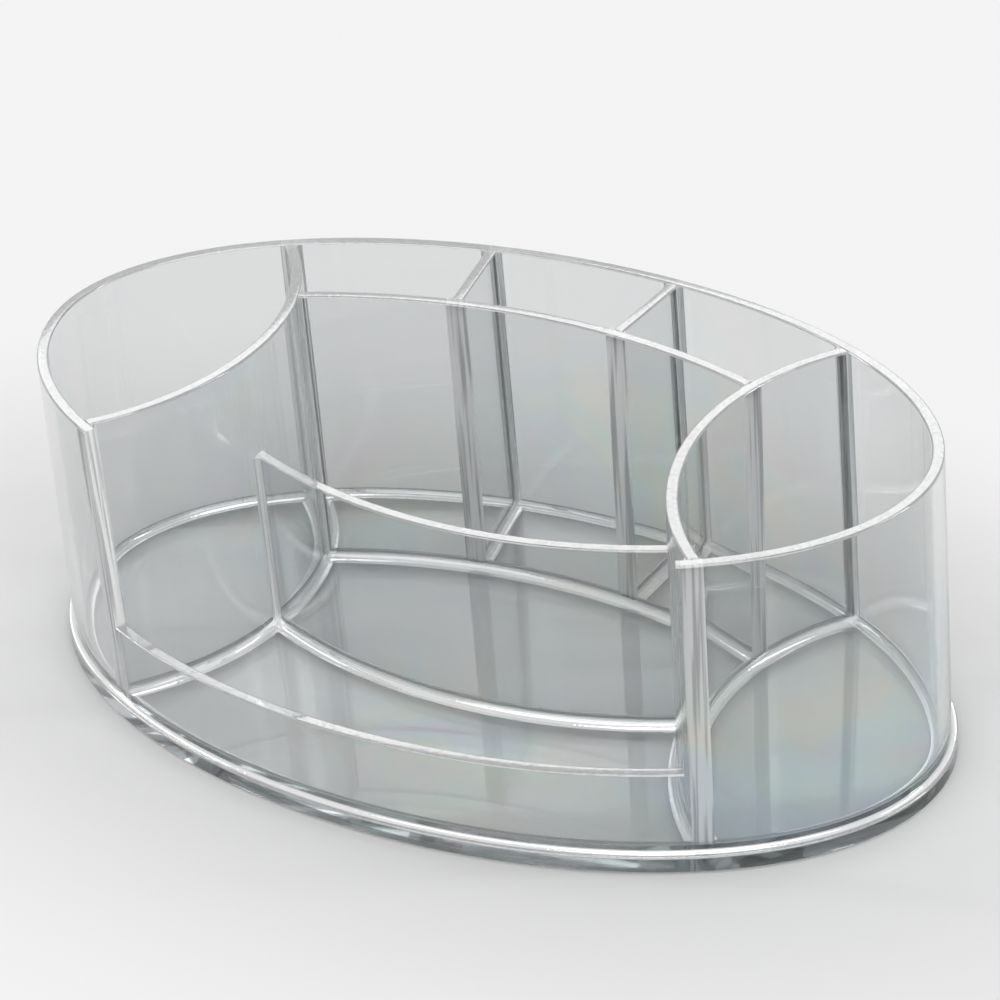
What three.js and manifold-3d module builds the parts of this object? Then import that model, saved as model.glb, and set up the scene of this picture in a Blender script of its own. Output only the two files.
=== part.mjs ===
// Oval clear acrylic makeup organizer: curved upright walls on a thick oval base plate.
// Lengths are millimetres. X runs along the oval, the low front faces -Y and +Z is up.
// The origin is the middle of the base plate's underside.

import * as THREE from 'three';
import { mergeVertices } from 'three/addons/utils/BufferGeometryUtils.js';
import Module from 'manifold-3d';

// Outer oval, measured over the top edge of the tall wall
const RIM_LENGTH = 240;
const RIM_WIDTH = 135;
const OVERALL_HEIGHT = 87;

// Base plate
const PLATE_THICKNESS = 5;
const PLATE_LEDGE = 1.6; // plate left showing outside the foot of the outer wall
const PLATE_EDGE_ROUND = 0.6;

// Walls
const WALL_THICKNESS = 3;
const TOP_EDGE_ROUND = 0.5;
const WALL_LEAN = 3; // the foot of the outer oval stands this far outside its top edge
const UPRIGHT_FRONT_POWER = 3; // the higher, the nearer to the front the lean fades out
const MIDDLE_WALL_TOP = 58.5; // height above the underside
const FRONT_WALL_TOP = 28.5; // height above the underside
const WALL_END_OVERHANG = 2.4; // tall wall past the pocket wall that its ends cover

// Feet of the walls
const FOOT_FILLET = 2.2;
const OUTSIDE_FOOT_FILLET = 1;
const FOOT_EDGE = 0.3; // upright edge and ledge where a fillet runs out on the plate

// Pocket walls at the two ends, arcs that bulge towards the middle
const POCKET_CENTRE_X = 128.9;
const POCKET_RADIUS = 70;

// Rear row
const REAR_WALL_RADIUS = 171;
const REAR_WALL_Y = 35.1; // front face on the centre line
const DIVIDER_X = 22.5; // where a divider leaves the rear pocket wall

// Middle wall, an arc that bulges forwards
const MIDDLE_WALL_RADIUS = 144;
const MIDDLE_WALL_Y = -22.6; // front face on the centre line

// Room left between a wall and the wall that it butts against
const BUTT_GAP = 0.3;
const CUT_OVERRUN = 6; // extra length on a wall before its ends are cut to fit
const CUTTER_REACH_SHARE = 0.25; // of the rim's width, by which the tall wall's cutter runs on
const POCKET_REACH_SHARE = 0.5; // of a pocket's radius, by which an arc runs into the pocket

// Facets
const OVAL_STEPS = 120;
const OUTER_WALL_STEPS = 84;
const ARC_STEP_LENGTH = 4.5;
const FILLET_STEPS = 3;
const TOP_ROUND_STEPS = 2;
const PLATE_ROUND_STEPS = 2;
const CROSSING_HALVINGS = 40; // steps of the search for where two curves cross

const CLEAR_ACRYLIC = { color: 0xe9eef1, roughness: 0.08, metalness: 0, transparent: true, opacity: 0.4 };

const TALL_WALL_HEIGHT = OVERALL_HEIGHT - PLATE_THICKNESS;
const RIM_RADIUS_X = RIM_LENGTH / 2;
const RIM_RADIUS_Y = RIM_WIDTH / 2;

const wasm = await Module();
wasm.setup();

/** A plan curve lifted to level 3-D, for sweeping a wall section along it. */
class LevelCurve extends THREE.Curve {
  constructor(planCurve) {
    super();
    this.planCurve = planCurve;
  }

  getPoint(t, target = new THREE.Vector3()) {
    const { x, y } = this.planCurve.getPoint(t);
    return target.set(x, y, 0);
  }
}

/** Turns a closed geometry into a solid that can be cut. */
function toSolid(geometry) {
  const bare = geometry.clone();
  bare.deleteAttribute('normal');
  bare.deleteAttribute('uv');
  const merged = mergeVertices(bare);
  const triangles = [];
  for (let first = 0; first < merged.index.count; first += 3) {
    const corners = [0, 1, 2].map((corner) => merged.index.getX(first + corner));
    // The tip of a lathe's profile on the axis leaves triangles without area.
    if (new Set(corners).size === 3) triangles.push(...corners);
  }
  return new wasm.Manifold(new wasm.Mesh({
    numProp: 3,
    vertProperties: new Float32Array(merged.attributes.position.array),
    triVerts: new Uint32Array(triangles),
  }));
}

/** Turns a cut solid back into a geometry. */
function toGeometry(solid) {
  const { vertProperties, triVerts } = solid.getMesh();
  const geometry = new THREE.BufferGeometry();
  geometry.setAttribute('position', new THREE.BufferAttribute(vertProperties, 3));
  geometry.setIndex(new THREE.BufferAttribute(triVerts, 1));
  geometry.computeVertexNormals();
  return geometry;
}

/** Quarter circle in equal steps about a centre, between two angles. */
function quarterArc(centreX, centreY, radius, startAngle, endAngle, steps) {
  const clockwise = endAngle < startAngle;
  return new THREE.EllipseCurve(
    centreX, centreY, radius, radius, startAngle, endAngle, clockwise,
  ).getPoints(steps);
}

/**
 * One face of a wall section, from the top down to the plate: a rounded top edge, an upright
 * face, a fillet and a small edge. Points are (distance from the path, height). The side is
 * +1 for the face that looks left of the path and -1 for the one that looks right.
 */
function faceProfile(face, side, height, fillet, growth) {
  const quarter = Math.PI / 2;
  const points = [
    ...quarterArc(
      -TOP_EDGE_ROUND, height - TOP_EDGE_ROUND, TOP_EDGE_ROUND + growth, quarter, 0, TOP_ROUND_STEPS,
    ),
    ...quarterArc(fillet, FOOT_EDGE + fillet, fillet - growth, Math.PI, Math.PI + quarter, FILLET_STEPS),
    new THREE.Vector2(fillet + FOOT_EDGE + growth, FOOT_EDGE + growth),
    new THREE.Vector2(fillet + FOOT_EDGE + growth, 0),
  ];
  return points.map(({ x, y }) => new THREE.Vector2(face + side * x, y));
}

/**
 * Section of a wall between its left and right faces, seen along the path. A leaning wall is
 * sheared so that its top stays on the path and its foot moves left by the lean.
 */
function wallSection(wall, growth = 0) {
  const left = faceProfile(wall.left, 1, wall.height, wall.leftFillet ?? FOOT_FILLET, growth);
  const right = faceProfile(wall.right, -1, wall.height, FOOT_FILLET, growth);
  const lean = wall.lean ?? 0;
  const outline = [...left, ...right.reverse()];
  // A swept shape's x axis points down and its y axis points left of the path.
  return new THREE.Shape(outline.map(
    ({ x, y }) => new THREE.Vector2(-y, x + lean * (1 - y / wall.height)),
  ));
}

/** Unit vector that points out of the oval at an angle. */
function ovalNormal(angle) {
  return new THREE.Vector2(RIM_RADIUS_Y * Math.cos(angle), RIM_RADIUS_X * Math.sin(angle)).normalize();
}

/** Point on the top outer edge of the oval, moved outwards by a distance, at an angle. */
function ovalPoint(angle, outwards) {
  return new THREE.Vector2(RIM_RADIUS_X * Math.cos(angle), RIM_RADIUS_Y * Math.sin(angle))
    .addScaledVector(ovalNormal(angle), outwards);
}

/** Lean that the oval's wall has lost at an angle: none at the rear, all of it in mid-front. */
function lostLean(angle) {
  return WALL_LEAN * Math.max(0, -ovalNormal(angle).y) ** UPRIGHT_FRONT_POWER;
}

/** Stands the front of a leaning oval wall upright, by moving its upper part outwards. */
function standFrontUpright(geometry) {
  const { position } = geometry.attributes;
  const point = new THREE.Vector3();
  for (let index = 0; index < position.count; index += 1) {
    point.fromBufferAttribute(position, index);
    const angle = Math.atan2(point.y / RIM_RADIUS_Y, point.x / RIM_RADIUS_X);
    const moved = ovalNormal(angle).multiplyScalar(lostLean(angle) * (point.z / TALL_WALL_HEIGHT));
    position.setXY(index, point.x + moved.x, point.y + moved.y);
  }
}

/** Sweeps a wall along its path and stands it on the plate. */
function sweepWall(wall, growth = 0, path = wall.path) {
  const steps = wall.steps ?? Math.max(1, Math.ceil(path.getLength() / ARC_STEP_LENGTH));
  const geometry = new THREE.ExtrudeGeometry(wallSection(wall, growth), {
    steps: path.planCurve.isLineCurve ? 1 : steps,
    extrudePath: path,
  });
  if (wall.lean) standFrontUpright(geometry);
  return toSolid(geometry.translate(0, 0, PLATE_THICKNESS));
}

/** Clockwise stretch of the oval's top edge, so that outwards lies left of the path. */
function ovalPath(startAngle, endAngle) {
  return new LevelCurve(new THREE.EllipseCurve(
    0, 0, RIM_RADIUS_X, RIM_RADIUS_Y, startAngle, endAngle, true,
  ));
}

/** Arc about a point on the plan, counterclockwise between two angles. */
function arcPath(centreX, centreY, radius, startAngle, endAngle) {
  return new LevelCurve(new THREE.EllipseCurve(
    centreX, centreY, radius, radius, startAngle, endAngle, false,
  ));
}

/** Oval angle, on the front right, where the right pocket wall's middle side meets the rim. */
function pocketCrossingAngle() {
  let low = -Math.PI / 2;
  let high = 0;
  for (let halving = 0; halving < CROSSING_HALVINGS; halving += 1) {
    const angle = (low + high) / 2;
    const point = ovalPoint(angle, lostLean(angle) - WALL_THICKNESS);
    const distance = Math.hypot(point.x - POCKET_CENTRE_X, point.y);
    if (distance > POCKET_RADIUS) low = angle;
    else high = angle;
  }
  return (low + high) / 2;
}

/** Oval angle where the tall wall ends at the front right, past the pocket wall. */
function tallWallEndAngle() {
  const crossing = pocketCrossingAngle();
  const speed = Math.hypot(RIM_RADIUS_X * Math.sin(crossing), RIM_RADIUS_Y * Math.cos(crossing));
  return crossing - WALL_END_OVERHANG / speed;
}

/** Oval angle that a length along the rim takes near the front ends of the tall wall. */
function rimAngle(length) {
  const end = tallWallEndAngle();
  return length / Math.hypot(RIM_RADIUS_X * Math.sin(end), RIM_RADIUS_Y * Math.cos(end));
}

const OVAL_WALL = {
  left: 0,
  right: -WALL_THICKNESS,
  lean: WALL_LEAN,
  leftFillet: OUTSIDE_FOOT_FILLET,
};

/** Tall wall round the left end, the rear and the right end. */
function outerWall() {
  const end = tallWallEndAngle();
  return {
    ...OVAL_WALL,
    height: TALL_WALL_HEIGHT,
    steps: OUTER_WALL_STEPS,
    path: ovalPath(Math.PI - end, end),
  };
}

/** The tall wall with its butt gap, run on past both ends, to cut what meets its inner face. */
function outerWallCutter() {
  const wall = outerWall();
  const overrun = rimAngle(RIM_WIDTH * CUTTER_REACH_SHARE);
  const end = tallWallEndAngle() - overrun;
  const left = WALL_LEAN + 2 * CUT_OVERRUN;
  return sweepWall({ ...wall, left }, BUTT_GAP, ovalPath(Math.PI - end, end));
}

/** Low wall along the front, between the two ends of the tall wall. */
function frontWall() {
  const end = tallWallEndAngle() - rimAngle(BUTT_GAP);
  const height = FRONT_WALL_TOP - PLATE_THICKNESS;
  const lean = WALL_LEAN * (height / TALL_WALL_HEIGHT);
  const topOffset = WALL_LEAN - lean;
  return {
    ...OVAL_WALL,
    left: topOffset,
    right: topOffset - WALL_THICKNESS,
    height,
    lean,
    path: ovalPath(end, -Math.PI - end),
  };
}

/** Arc wall that closes the right pocket. Its path runs on the side that faces the middle. */
function pocketWall() {
  const crossing = ovalPoint(pocketCrossingAngle(), 0);
  const halfAngle = Math.atan2(-crossing.y, POCKET_CENTRE_X - crossing.x)
    + CUT_OVERRUN / POCKET_RADIUS;
  return {
    left: WALL_THICKNESS,
    right: 0,
    height: TALL_WALL_HEIGHT,
    path: arcPath(POCKET_CENTRE_X, 0, POCKET_RADIUS, Math.PI - halfAngle, Math.PI + halfAngle),
  };
}

/** The round space of the right pocket with its butt gap, to cut walls that meet its wall. */
function pocketCutter() {
  const face = faceProfile(POCKET_RADIUS, 1, TALL_WALL_HEIGHT, FOOT_FILLET, BUTT_GAP);
  const profile = [
    new THREE.Vector2(0, 0),
    ...face.reverse(),
    new THREE.Vector2(0, TALL_WALL_HEIGHT + BUTT_GAP),
  ];
  const sides = Math.ceil((2 * Math.PI * POCKET_RADIUS) / ARC_STEP_LENGTH);
  return toSolid(new THREE.LatheGeometry(profile, sides)
    .rotateX(Math.PI / 2)
    .translate(POCKET_CENTRE_X, 0, PLATE_THICKNESS));
}

/** Half the angle of an arc about the centre line that runs well into both pockets. */
function reachAngle(radius) {
  return Math.asin((POCKET_CENTRE_X - POCKET_RADIUS * (1 - POCKET_REACH_SHARE)) / radius);
}

/** Arc wall in front of the rear row. Its path runs on the front face. */
function rearPocketWall() {
  const halfAngle = reachAngle(REAR_WALL_RADIUS);
  const top = Math.PI / 2;
  return {
    left: 0,
    right: -WALL_THICKNESS,
    height: TALL_WALL_HEIGHT,
    path: arcPath(0, REAR_WALL_Y - REAR_WALL_RADIUS, REAR_WALL_RADIUS, top - halfAngle, top + halfAngle),
  };
}

/** Arc wall between the middle and the front. Its path runs on the front face. */
function middleWall() {
  const halfAngle = reachAngle(MIDDLE_WALL_RADIUS);
  const bottom = -Math.PI / 2;
  return {
    left: WALL_THICKNESS,
    right: 0,
    height: MIDDLE_WALL_TOP - PLATE_THICKNESS,
    path: arcPath(
      0, MIDDLE_WALL_Y + MIDDLE_WALL_RADIUS, MIDDLE_WALL_RADIUS, bottom - halfAngle, bottom + halfAngle,
    ),
  };
}

/** Distance from a point inside the oval to its top edge, along a unit direction. */
function distanceToRim(point, direction) {
  const scale = new THREE.Vector2(1 / RIM_RADIUS_X, 1 / RIM_RADIUS_Y);
  const from = point.clone().multiply(scale);
  const along = direction.clone().multiply(scale);
  const half = from.dot(along);
  const square = along.lengthSq();
  return (-half + Math.sqrt(half * half - square * (from.lengthSq() - 1))) / square;
}

/** Straight divider of the rear row on the right, square to the rear pocket wall. */
function rearDivider() {
  const angle = Math.asin(DIVIDER_X / REAR_WALL_RADIUS);
  const outwards = new THREE.Vector2(Math.sin(angle), Math.cos(angle));
  const start = new THREE.Vector2(0, REAR_WALL_Y - REAR_WALL_RADIUS)
    .addScaledVector(outwards, REAR_WALL_RADIUS + WALL_THICKNESS / 2);
  const length = distanceToRim(start, outwards) + CUT_OVERRUN;
  const end = start.clone().addScaledVector(outwards, length);
  return {
    left: WALL_THICKNESS / 2,
    right: -WALL_THICKNESS / 2,
    height: TALL_WALL_HEIGHT,
    path: new LevelCurve(new THREE.LineCurve(start, end)),
  };
}

/** Copies a solid to the other side of the centre line. */
function mirrored(solid) {
  return solid.mirror([1, 0, 0]);
}

/** Oval plate with softened edges, reaching a ledge beyond the foot of the outer walls. */
function basePlate() {
  const outline = [];
  for (let step = 0; step < OVAL_STEPS; step += 1) {
    outline.push(ovalPoint((2 * Math.PI * step) / OVAL_STEPS, WALL_LEAN + PLATE_LEDGE));
  }
  return new THREE.ExtrudeGeometry(new THREE.Shape(outline), {
    depth: PLATE_THICKNESS - 2 * PLATE_EDGE_ROUND,
    bevelThickness: PLATE_EDGE_ROUND,
    bevelSize: PLATE_EDGE_ROUND,
    bevelOffset: -PLATE_EDGE_ROUND,
    bevelSegments: PLATE_ROUND_STEPS,
  }).translate(0, 0, PLATE_EDGE_ROUND);
}

/** Every wall cut to its neighbours, by name. */
function fittedWalls() {
  const outerCutter = outerWallCutter();
  const rightPocketSpace = pocketCutter();
  const pocketSpaces = rightPocketSpace.add(mirrored(rightPocketSpace));
  const rearCutter = sweepWall(rearPocketWall(), BUTT_GAP);

  const rightPocket = sweepWall(pocketWall()).subtract(outerCutter);
  const rightDivider = sweepWall(rearDivider()).subtract(outerCutter).subtract(rearCutter);
  return {
    outer_wall: sweepWall(outerWall()),
    front_wall: sweepWall(frontWall()).subtract(pocketSpaces.subtract(outerCutter)),
    left_pocket_wall: mirrored(rightPocket),
    right_pocket_wall: rightPocket,
    rear_pocket_wall: sweepWall(rearPocketWall()).subtract(pocketSpaces),
    middle_wall: sweepWall(middleWall()).subtract(pocketSpaces),
    left_rear_divider: mirrored(rightDivider),
    right_rear_divider: rightDivider,
  };
}

/** Puts a geometry in the scene graph under its name. */
function piece(name, geometry) {
  const mesh = new THREE.Mesh(geometry, new THREE.MeshStandardMaterial(CLEAR_ACRYLIC));
  mesh.name = name;
  return mesh;
}

const organizer = new THREE.Group();
organizer.name = 'makeup_organizer';
organizer.add(piece('base_plate', basePlate()));
for (const [name, solid] of Object.entries(fittedWalls())) {
  organizer.add(piece(name, toGeometry(solid)));
}

export default organizer;
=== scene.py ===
"""Oval clear acrylic makeup organizer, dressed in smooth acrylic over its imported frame.

Lengths are metres on the frame's own axes: X runs along the oval, the low front faces -Y and
+Z is up. The plate stands on Z = 0.
"""

import logging
import math
from collections.abc import Callable, Iterable
from dataclasses import dataclass
from enum import Enum

import bmesh
import bpy
from mathutils import Matrix, Vector


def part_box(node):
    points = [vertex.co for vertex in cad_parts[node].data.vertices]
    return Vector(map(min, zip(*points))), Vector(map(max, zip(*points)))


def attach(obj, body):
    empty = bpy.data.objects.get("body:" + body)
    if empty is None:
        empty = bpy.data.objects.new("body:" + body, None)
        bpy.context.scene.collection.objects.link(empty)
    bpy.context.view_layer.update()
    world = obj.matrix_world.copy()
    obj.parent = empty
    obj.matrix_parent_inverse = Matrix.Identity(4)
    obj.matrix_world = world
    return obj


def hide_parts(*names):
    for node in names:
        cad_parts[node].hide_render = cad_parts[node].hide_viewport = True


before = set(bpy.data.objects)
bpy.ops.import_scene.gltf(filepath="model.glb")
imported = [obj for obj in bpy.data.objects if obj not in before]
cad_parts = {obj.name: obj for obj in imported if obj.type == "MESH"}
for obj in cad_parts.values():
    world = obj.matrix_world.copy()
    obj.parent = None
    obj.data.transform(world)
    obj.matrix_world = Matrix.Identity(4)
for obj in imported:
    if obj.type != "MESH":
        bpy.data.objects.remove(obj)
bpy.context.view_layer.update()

LOG = logging.getLogger("makeup_organizer")
BODY = "root"
PLATE_NODE = "base_plate"
MM = 0.001

Colour = tuple[float, float, float, float]
Gap = Callable[[Vector, float], float]

WHITE: Colour = (1.0, 1.0, 1.0, 1.0)
# Near white of the finishes painted bright: a painted highlight on the wall tops, fillets and joints
HIGHLIGHT_WHITE: Colour = (0.98, 0.983, 0.985, 1.0)

# Heights and reach, read from the frame
PLATE_TOP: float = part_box(PLATE_NODE)[1].z
TALL_HEIGHT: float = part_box("outer_wall")[1].z - PLATE_TOP
MIDDLE_HEIGHT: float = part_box("middle_wall")[1].z - PLATE_TOP
FRONT_HEIGHT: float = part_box("front_wall")[1].z - PLATE_TOP
PLATE_HALF_LENGTH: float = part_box(PLATE_NODE)[1].x
PLATE_HALF_WIDTH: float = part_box(PLATE_NODE)[1].y

# Sizes that the smooth pieces share with the frame's solids
WALL_THICKNESS = 3.0 * MM
WALL_LEAN = 3.0 * MM
UPRIGHT_FRONT_POWER = 3
WALL_END_OVERHANG = 2.4 * MM
PLATE_LEDGE = 1.6 * MM
PLATE_EDGE_ROUND = 0.6 * MM
TOP_EDGE_ROUND = 0.5 * MM
FOOT_FILLET = 2.2 * MM
OUTSIDE_FOOT_FILLET = 1.0 * MM
POCKET_CENTRE_X = 128.9 * MM
POCKET_RADIUS = 70.0 * MM
REAR_WALL_Y = 35.1 * MM
REAR_WALL_RADIUS = 171.0 * MM
MIDDLE_WALL_Y = -22.6 * MM
MIDDLE_WALL_RADIUS = 144.0 * MM
DIVIDER_X = 22.5 * MM

# Thin edges, overlaps and corner fillets of the smooth pieces
FOOT_EDGE = 0.06 * MM
BOND = 0.03 * MM
COVE_RADIUS = 1.3 * MM
WALL_END_COVE_RADIUS = 0.9 * MM
COVE_SINK = 0.01 * MM
COVE_ARM = 0.4 * MM
COVE_LENGTH_SHARE = 1.1
COVE_BELOW_TOP = 0.3 * MM

# How far the trimming tools, and the walls that they trim, run on
CUT_OVERRUN = 6.0 * MM
POCKET_SPACE_SHARE = 0.6
POCKET_REACH_SHARE = 0.5
DIVIDER_REACH_SHARE = 1.5

# Fineness of the meshes and of the searches for corners
STEP_LENGTH = 1.6 * MM
PLATE_STEPS = 360
TOP_ROUND_STEPS = 5
FILLET_STEPS = 8
COVE_STEPS = 6
NEAREST_STEPS = 12
HALVINGS = 40
PROBE = 0.05 * MM

# Tilts that tell one area of a surface from the next
SMOOTH_BELOW = math.radians(28)
FOOT_TILT = 0.08
EDGE_ROUND_TILT = 0.1

# Places of the colour sockets on a Mix node
MIX_FIRST = 6
MIX_SECOND = 7
MIX_RESULT = 2

# Light that runs along inside the clear walls turns back many times
CLEAR_BOUNCES = 24
MOST_BOUNCES = 32


class Joinery(Enum):
    """What a tool does to the body that it is worked into."""

    CUT = "DIFFERENCE"
    WELD = "UNION"


class Area(Enum):
    """Kind of surface on a piece, numbered by its material's place in the piece's list."""

    FACE = 0
    EDGE = 1
    SEAM = 2
    JOINT = 3


@dataclass(frozen=True)
class Rim:
    """Oval over the top outer edge of the tall wall."""

    half_length: float
    half_width: float

    def normal(self, angle: float) -> Vector:
        """Unit vector that points out of the oval at an angle."""
        along_x, along_y = self.half_width * math.cos(angle), self.half_length * math.sin(angle)
        return Vector((along_x, along_y, 0)).normalized()

    def point(self, angle: float, outwards: float = 0.0) -> Vector:
        """Point at an angle, 0 at the right end, moved a distance outwards and square to the oval."""
        on_rim = Vector((self.half_length * math.cos(angle), self.half_width * math.sin(angle), 0))
        return on_rim + outwards * self.normal(angle)

    def speed(self, angle: float) -> float:
        """Length along the rim for each radian, at an angle."""
        return math.hypot(self.half_length * math.sin(angle), self.half_width * math.cos(angle))

    def lost_lean(self, angle: float) -> float:
        """Lean that the wall has lost at an angle: none at the rear, all of it in mid-front."""
        return WALL_LEAN * max(0.0, -self.normal(angle).y) ** UPRIGHT_FRONT_POWER

    def outwards(self, point: Vector, height: float) -> float:
        """Distance of a point outside the oval, where the wall's lost lean moves the oval out.

        Args:
            point: A point near the rim.
            height: Height above the plate's top.

        Returns:
            The distance, negative inside the oval.
        """
        angle = math.atan2(point.y / self.half_width, point.x / self.half_length)
        for _ in range(NEAREST_STEPS):
            tangent = Vector((-self.half_length * math.sin(angle), self.half_width * math.cos(angle), 0))
            angle += (point - self.point(angle)).dot(tangent) / tangent.length_squared
        from_rim = (point - self.point(angle)).dot(self.normal(angle))
        return from_rim - self.lost_lean(angle) * height / TALL_HEIGHT

    def bend(self, mesh: bmesh.types.BMesh) -> None:
        """Bends a round ring of the oval's half length onto the oval, with its front upright.

        Args:
            mesh: A ring about the upright axis.
        """
        for vertex in mesh.verts:
            angle = math.atan2(vertex.co.y, vertex.co.x)
            outwards = vertex.co.to_2d().length - self.half_length
            outwards += self.lost_lean(angle) * max(0.0, vertex.co.z - PLATE_TOP) / TALL_HEIGHT
            vertex.co = self.point(angle, outwards) + Vector((0, 0, vertex.co.z))


@dataclass(frozen=True)
class Arc:
    """Circle on the plan that a wall's face follows."""

    centre: Vector
    radius: float

    def point(self, angle: float) -> Vector:
        """Point of the circle at an angle."""
        return self.centre + self.radius * Vector((math.cos(angle), math.sin(angle), 0))

    def outwards(self, point: Vector) -> float:
        """Distance of a point outside the circle, negative inside."""
        return (point - self.centre).length - self.radius

    def offset(self, distance: float) -> "Arc":
        """The circle about the same centre, larger by a distance."""
        return Arc(self.centre, self.radius + distance)


RIM = Rim(PLATE_HALF_LENGTH - WALL_LEAN - PLATE_LEDGE, PLATE_HALF_WIDTH - WALL_LEAN - PLATE_LEDGE)
POCKET_FACE = Arc(Vector((POCKET_CENTRE_X, 0, 0)), POCKET_RADIUS)
REAR_FACE = Arc(Vector((0, REAR_WALL_Y - REAR_WALL_RADIUS, 0)), REAR_WALL_RADIUS)
MIDDLE_FACE = Arc(Vector((0, MIDDLE_WALL_Y + MIDDLE_WALL_RADIUS, 0)), MIDDLE_WALL_RADIUS)
ARC_REACH_X = POCKET_FACE.centre.x - POCKET_FACE.radius * POCKET_REACH_SHARE


def halve(low: float, high: float, is_low: Callable[[float], bool]) -> float:
    """Finds where a test changes between two numbers.

    Args:
        low: A number that passes the test.
        high: A number that fails it.
        is_low: The test.

    Returns:
        The largest number found that passes.
    """
    for _ in range(HALVINGS):
        middle = (low + high) / 2
        if is_low(middle):
            low = middle
        else:
            high = middle
    return low


def outside_pocket(angle: float) -> bool:
    """Tells whether the tall wall's top inner edge lies outside the right pocket at a rim angle."""
    return POCKET_FACE.outwards(RIM.point(angle, RIM.lost_lean(angle) - WALL_THICKNESS)) > 0


CROSSING = halve(-math.pi / 2, 0.0, outside_pocket)
TALL_END = CROSSING - WALL_END_OVERHANG / RIM.speed(CROSSING)


@dataclass(frozen=True)
class WallSection:
    """Upright section across a wall: x runs outwards across it and z up from the plate.

    A leaning section keeps its top and moves its foot outwards.
    """

    outer: float
    inner: float
    height: float
    outer_fillet: float = FOOT_FILLET
    lean: float = 0.0

    def outline(self) -> bmesh.types.BMesh:
        """Outline of the wall itself, down to the bond with the plate."""
        return self.drawn(0.0, self.height, BOND)

    def cutter_outline(self) -> bmesh.types.BMesh:
        """Outline of a tool in the wall's place, thinner by the bond and taller than the wall."""
        return self.drawn(-BOND, self.height + CUT_OVERRUN, CUT_OVERRUN / 2)

    def drawn(self, growth: float, top: float, depth: float) -> bmesh.types.BMesh:
        """Draws the outline, with its top edges and its foot fillets rounded.

        Args:
            growth: Distance by which the faces are moved out.
            top: Height of the top.
            depth: Distance that the foot reaches below the plate's top.

        Returns:
            A closed loop of edges on the XZ plane.
        """
        toe_top = FOOT_EDGE + growth
        corners: list[tuple[float, float, float]] = []
        for side, face, fillet in ((1, self.outer, self.outer_fillet), (-1, self.inner, FOOT_FILLET)):
            wall = face + side * growth
            toe = wall + side * (fillet + FOOT_EDGE)
            half = [
                (wall, top, TOP_EDGE_ROUND), (wall, toe_top, fillet), (toe, toe_top, 0.0), (toe, -depth, 0.0)
            ]
            corners += half if side > 0 else half[::-1]
        mesh = bmesh.new()
        drawn = [mesh.verts.new((x, 0, z)) for x, z, _ in corners]
        mesh.faces.new(drawn)
        for vertex, (_, _, radius) in zip(drawn, corners):
            if radius > 0:
                steps = TOP_ROUND_STEPS if radius == TOP_EDGE_ROUND else FILLET_STEPS
                round_corner(mesh, vertex, radius, steps)
        bmesh.ops.delete(mesh, geom=mesh.faces[:], context="FACES_ONLY")
        shear = Matrix.Identity(4)
        shear[0][2] = -self.lean / self.height
        shear[0][3] = self.lean
        bmesh.ops.transform(mesh, matrix=shear, verts=mesh.verts)
        return mesh


def round_corner(mesh: bmesh.types.BMesh, corner: bmesh.types.BMVert, reach: float, steps: int) -> None:
    """Rounds one corner of a flat outline.

    Args:
        mesh: The outline.
        corner: The corner.
        reach: Distance from the corner to both ends of the round.
        steps: Its number of edges.
    """
    bmesh.ops.bevel(
        mesh, geom=[corner], offset=reach, offset_type="OFFSET", segments=steps, profile=0.5,
        affect="VERTICES", material=-1,
    )


def sweep(outline: bmesh.types.BMesh, path: Arc, start: float, turn: float) -> bmesh.types.BMesh:
    """Sweeps an outline along an arc and closes its two ends.

    Args:
        outline: Closed loop on the XZ plane, with x measured outwards from the arc.
        path: The arc.
        start: Angle where the sweep starts.
        turn: Angle that it turns by.

    Returns:
        The swept solid, standing on the plate.
    """
    place = (
        Matrix.Translation(path.centre + Vector((0, 0, PLATE_TOP)))
        @ Matrix.Rotation(start, 4, "Z")
        @ Matrix.Translation((path.radius, 0, 0))
    )
    bmesh.ops.transform(outline, matrix=place, verts=outline.verts)
    full_turn = turn == 2 * math.pi
    bmesh.ops.spin(
        outline, geom=outline.verts[:] + outline.edges[:], cent=path.centre, axis=(0, 0, 1),
        angle=turn, steps=math.ceil(turn * path.radius / STEP_LENGTH), use_merge=full_turn,
    )
    close_ends(outline)
    return outline


def close_ends(mesh: bmesh.types.BMesh) -> None:
    """Closes the open ends of a swept outline with joint faces, painted near white as a highlight.

    Args:
        mesh: The swept outline.
    """
    ends = bmesh.ops.holes_fill(mesh, edges=[edge for edge in mesh.edges if edge.is_boundary])["faces"]
    mark(ends, Area.JOINT)
    bmesh.ops.recalc_face_normals(mesh, faces=mesh.faces)


def mark(faces: Iterable[bmesh.types.BMFace], area: Area) -> None:
    """Gives faces the material of an area."""
    for face in faces:
        face.material_index = area.value


def raise_faces(mesh: bmesh.types.BMesh, by: Vector) -> None:
    """Extrudes a flat outline's face into a solid.

    Args:
        mesh: The outline, with its one face.
        by: Way and distance.
    """
    raised = bmesh.ops.extrude_face_region(mesh, geom=mesh.faces[:])["geom"]
    lifted = [item for item in raised if isinstance(item, bmesh.types.BMVert)]
    bmesh.ops.translate(mesh, vec=by, verts=lifted)
    bmesh.ops.recalc_face_normals(mesh, faces=mesh.faces)


def sweep_rim(outline: bmesh.types.BMesh, start: float, turn: float) -> bmesh.types.BMesh:
    """Sweeps an outline along the rim.

    Args:
        outline: Closed loop on the XZ plane, with x measured outwards from the rim.
        start: Rim angle where the sweep starts.
        turn: Rim angle that it turns by.

    Returns:
        The swept solid.
    """
    ring = sweep(outline, Arc(Vector((0, 0, 0)), RIM.half_length), start, turn)
    RIM.bend(ring)
    return ring


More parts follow.
